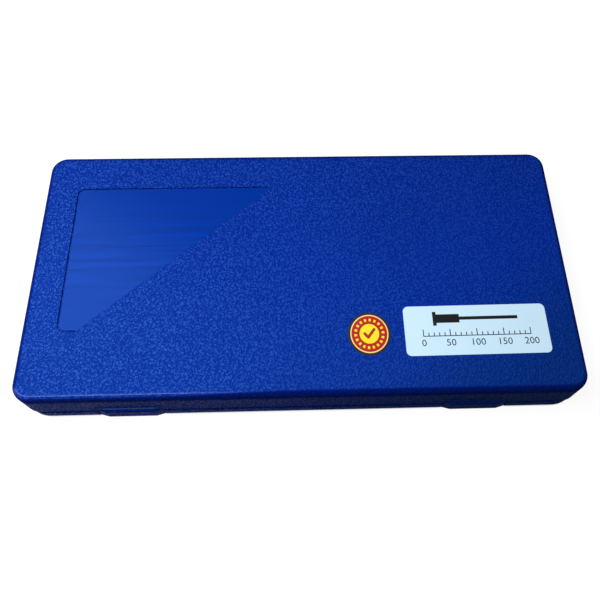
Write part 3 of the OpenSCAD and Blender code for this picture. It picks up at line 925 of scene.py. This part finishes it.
class GAUGECASE_OT_foam(bpy.types.Operator):
    """Make the soft inserts of base and lid"""

    bl_idname = "gauge_case.foam"
    bl_label = "Foam"
    bl_options = {"REGISTER", "UNDO"}

    def execute(self, context):
        look = context.scene.gauge_case_foam
        finish = open_foam(look)
        slack, room = 0.3 * MM, 1 * MM
        travel = 200 * MM
        corner = 7 * MM
        latch_at = 96 * MM
        latch_half = 21.8 * MM
        latch_rear = -72.6 * MM
        well_half = 52.5 * MM
        sheet_edge, cradle_edge = 0.6 * MM, 0.3 * MM
        cradle_margin, cradle_lap = 2 * MM, 0.2 * MM

        def pad(node, body, *meshes):
            bm = bmesh.new()
            for mesh in meshes:
                bm.from_mesh(mesh)
                bpy.data.meshes.remove(mesh)
            piece = put(node + "_soft", mesh_of(bm, node + "_soft"), finish, body)
            for face in piece.data.polygons:
                face.use_smooth = True
            piece.data.set_sharp_from_angle(angle=math.radians(40))
            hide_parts(node)

        def plan(node, extra=()):
            a, b = low(node), high(node)
            notches = [(x - latch_half, x + latch_half) for x in (-latch_at, latch_at)]
            return [notched(a.x, b.x, a.y, b.y, corner, notches, latch_rear - a.y), *extra]

        a, b = low("foam_sheet"), high("foam_sheet")
        sheet = foam_mesh("sheet", plan("foam_sheet"), a.z, b.z, sheet_edge)
        pad("foam_sheet", "case_base", sheet)

        a, b = low("foam_frame"), high("foam_frame")
        bar_low, slider_high = low("measuring_base"), high("slider_frame")
        beam_low, beam_high = low("main_beam"), high("main_beam")
        well_left = bar_low.x - room
        well_right = slider_high.x + travel + room
        slot = beam_high.y + slack
        slot_right = beam_high.x + slack
        well = [
            (well_left, -well_half),
            (well_right, -well_half),
            (well_right, -slot),
            (slot_right, -slot),
            (slot_right, slot),
            (well_right, slot),
            (well_right, well_half),
            (well_left, well_half),
        ]
        half = slot + cradle_margin
        cradle = rounded(well_right - cradle_lap, beam_high.x + cradle_margin, -half, half, 1 * MM)
        pad(
            "foam_frame",
            "case_base",
            foam_mesh("frame", plan("foam_frame", [well]), a.z, b.z, look.edge),
            foam_mesh("cradle", [cradle], a.z, beam_low.z, cradle_edge),
        )

        a, b = low("lid_foam"), high("lid_foam")
        lid_pad = foam_mesh("lid_pad", plan("lid_foam"), a.z, b.z, 2 * look.edge)
        pad("lid_foam", "lid", lid_pad)
        return {"FINISHED"}


class GAUGECASE_OT_stage(bpy.types.Operator):
    """Set the floor, the lamps, the surround and the camera"""

    bl_idname = "gauge_case.stage"
    bl_label = "Stage"
    bl_options = {"REGISTER", "UNDO"}

    def execute(self, context):
        scene = context.scene
        look = scene.gauge_case_stage
        self.floor(scene, look)
        front_left = (-0.30, -0.16, 0.62), (-0.30, -0.16, 0.0)
        left_end = (-0.33, 0.15, 0.62), (-0.06, 0.0, 0.02)
        self.lamp(scene, "strip_lamp", *front_left, (0.34, 0.09), look.strip_power)
        self.lamp(scene, "broad_lamp", *left_end, (0.42, 0.44), look.broad_power)
        self.surround(scene, look)
        self.camera(scene, look)
        scene.view_settings.view_transform = "Standard"
        return {"FINISHED"}

    def seen(self, f, mirrored):
        """1 for rays that show the background, mirrored for those off shiny surfaces, 0 for the rest."""
        path = f.node("ShaderNodeLightPath", {}, {})
        return path["Is Camera Ray"] | path["Is Glossy Ray"] * mirrored | path["Is Transmission Ray"]

    def floor(self, scene, look):
        """A pale floor that keeps the shadow, with a painted contact shadow where its glow fades by occlusion
        near the case, and a painted reflection in the case's walls, dimmer than the floor looks and stronger
        on the left near the case.
        """
        f = Finish("pale_floor")
        spot = f.point()
        mottle = f.noise(spot, 40.0, 3.0)
        along, across = f.axes(spot)[:2]
        near = f.ramp(abs(across), 0.14, 0.09)
        left = f.ramp(along, 0.08, -0.14)
        # painted reflection: the floor's glow in shiny surfaces, stronger on the left and close to the case
        painted_reflection = 0.05 + near * (0.08 + left * 0.72)
        # painted contact shadow: the floor's glow fades by occlusion near the case
        open_sky = f.node("ShaderNodeAmbientOcclusion", {}, {"Distance": 1.6 * MM})["AO"]
        f.surface(
            Base_Color=f.shade(look.floor, 0.97 + mottle * 0.06),
            Roughness=0.9,
            Specular_IOR_Level=0.0,
            Emission_Color=f.shade((1.0, 1.0, 1.0), self.seen(f, painted_reflection) * open_sky),
            Emission_Strength=0.92,
        )
        bm = bmesh.new()
        bmesh.ops.create_grid(bm, x_segments=1, y_segments=1, size=6.0)
        mesh = bpy.data.meshes.new("floor")
        bm.to_mesh(mesh)
        bm.free()
        mesh.materials.append(f.material)
        floor = bpy.data.objects.new("floor", mesh)
        floor.location.z = low("base_shell").z - 0.2 * MM
        scene.collection.objects.link(floor)

    def lamp(self, scene, name, stand, aim, size, power):
        """A soft lamp at one point that faces another."""
        data = bpy.data.lights.new(name, "AREA")
        data.shape = "RECTANGLE"
        data.size, data.size_y = size
        data.energy = power
        data.color = (0.94, 0.97, 1.0)
        lamp = bpy.data.objects.new(name, data)
        lamp.location = stand
        lamp.rotation_euler = (Vector(aim) - Vector(stand)).to_track_quat("-Z", "Y").to_euler()
        scene.collection.objects.link(lamp)

    def surround(self, scene, look):
        """White light from all around, of one strength to see, one to shine and one to light the case."""
        world = bpy.data.worlds.new("surround")
        world.use_nodes = True
        f = Finish("surround", world.node_tree)

        def white(strength):
            sockets = {"Color": (1.0, 1.0, 1.0, 1.0), "Strength": strength}
            return f.node("ShaderNodeBackground", {}, sockets)["Background"]

        glossy = f.node("ShaderNodeLightPath", {}, {})["Is Glossy Ray"]
        dim, dark, bright = white(look.surround), white(look.mirrored), white(0.8)
        unseen = f.node("ShaderNodeMixShader", {}, {0: glossy, 1: dim, 2: dark})["Shader"]
        both = f.node("ShaderNodeMixShader", {}, {0: self.seen(f, 0.0), 1: unseen, 2: bright})["Shader"]
        f.node("ShaderNodeOutputWorld", {}, {"Surface": both})
        scene.world = world

    def camera(self, scene, look):
        """A camera above the case's front edge, looking down and to the rear."""
        data = bpy.data.cameras.new("camera")
        data.sensor_width = 36.0
        data.lens = look.lens
        data.shift_x = -0.0382
        data.shift_y = 0.0011
        camera = bpy.data.objects.new("camera", data)
        stand = (0.0005, -0.1820, 0.3611)
        ahead = Vector((0.0302, 0.4307, -0.902))
        right = Vector((0.9994, -0.0286, 0.0198))
        back = -ahead.normalized()
        right = (right - back * right.dot(back)).normalized()
        up = back.cross(right)
        turn = Matrix((right, up, back)).transposed().to_4x4()
        camera.matrix_world = Matrix.Translation(stand) @ turn
        scene.collection.objects.link(camera)
        scene.camera = camera


STEPS = (
    GAUGECASE_OT_shells,
    GAUGECASE_OT_pins,
    GAUGECASE_OT_label,
    GAUGECASE_OT_sticker,
    GAUGECASE_OT_gauge,
    GAUGECASE_OT_scales,
    GAUGECASE_OT_foam,
    GAUGECASE_OT_stage,
)


class VIEW3D_PT_gauge_case(bpy.types.Panel):
    """Panel with the case's sizes, colours and steps"""

    bl_idname = "VIEW3D_PT_gauge_case"
    bl_label = "Gauge case"
    bl_space_type = "VIEW_3D"
    bl_region_type = "UI"
    bl_category = "Gauge case"

    def draw(self, context):
        for name, group in GROUPS.items():
            box = self.layout.box()
            for key in group.__annotations__:
                box.prop(getattr(context.scene, name), key)
        for step in STEPS:
            self.layout.operator(step.bl_idname)


CLASSES = (*GROUPS.values(), *STEPS, VIEW3D_PT_gauge_case)


def register():
    """Adds the classes, and the groups of sizes and colours to the scene."""
    for cls in CLASSES:
        bpy.utils.register_class(cls)
    for name, group in GROUPS.items():
        setattr(bpy.types.Scene, name, PointerProperty(type=group))


def unregister():
    """Takes away what register added."""
    for name in GROUPS:
        delattr(bpy.types.Scene, name)
    for cls in reversed(CLASSES):
        bpy.utils.unregister_class(cls)


def main():
    """Runs every step in order."""
    register()
    bpy.ops.gauge_case.shells()
    bpy.ops.gauge_case.pins()
    bpy.ops.gauge_case.label()
    bpy.ops.gauge_case.sticker()
    bpy.ops.gauge_case.gauge()
    bpy.ops.gauge_case.scales()
    bpy.ops.gauge_case.foam()
    bpy.ops.gauge_case.stage()


if __name__ == "__main__":
    main()
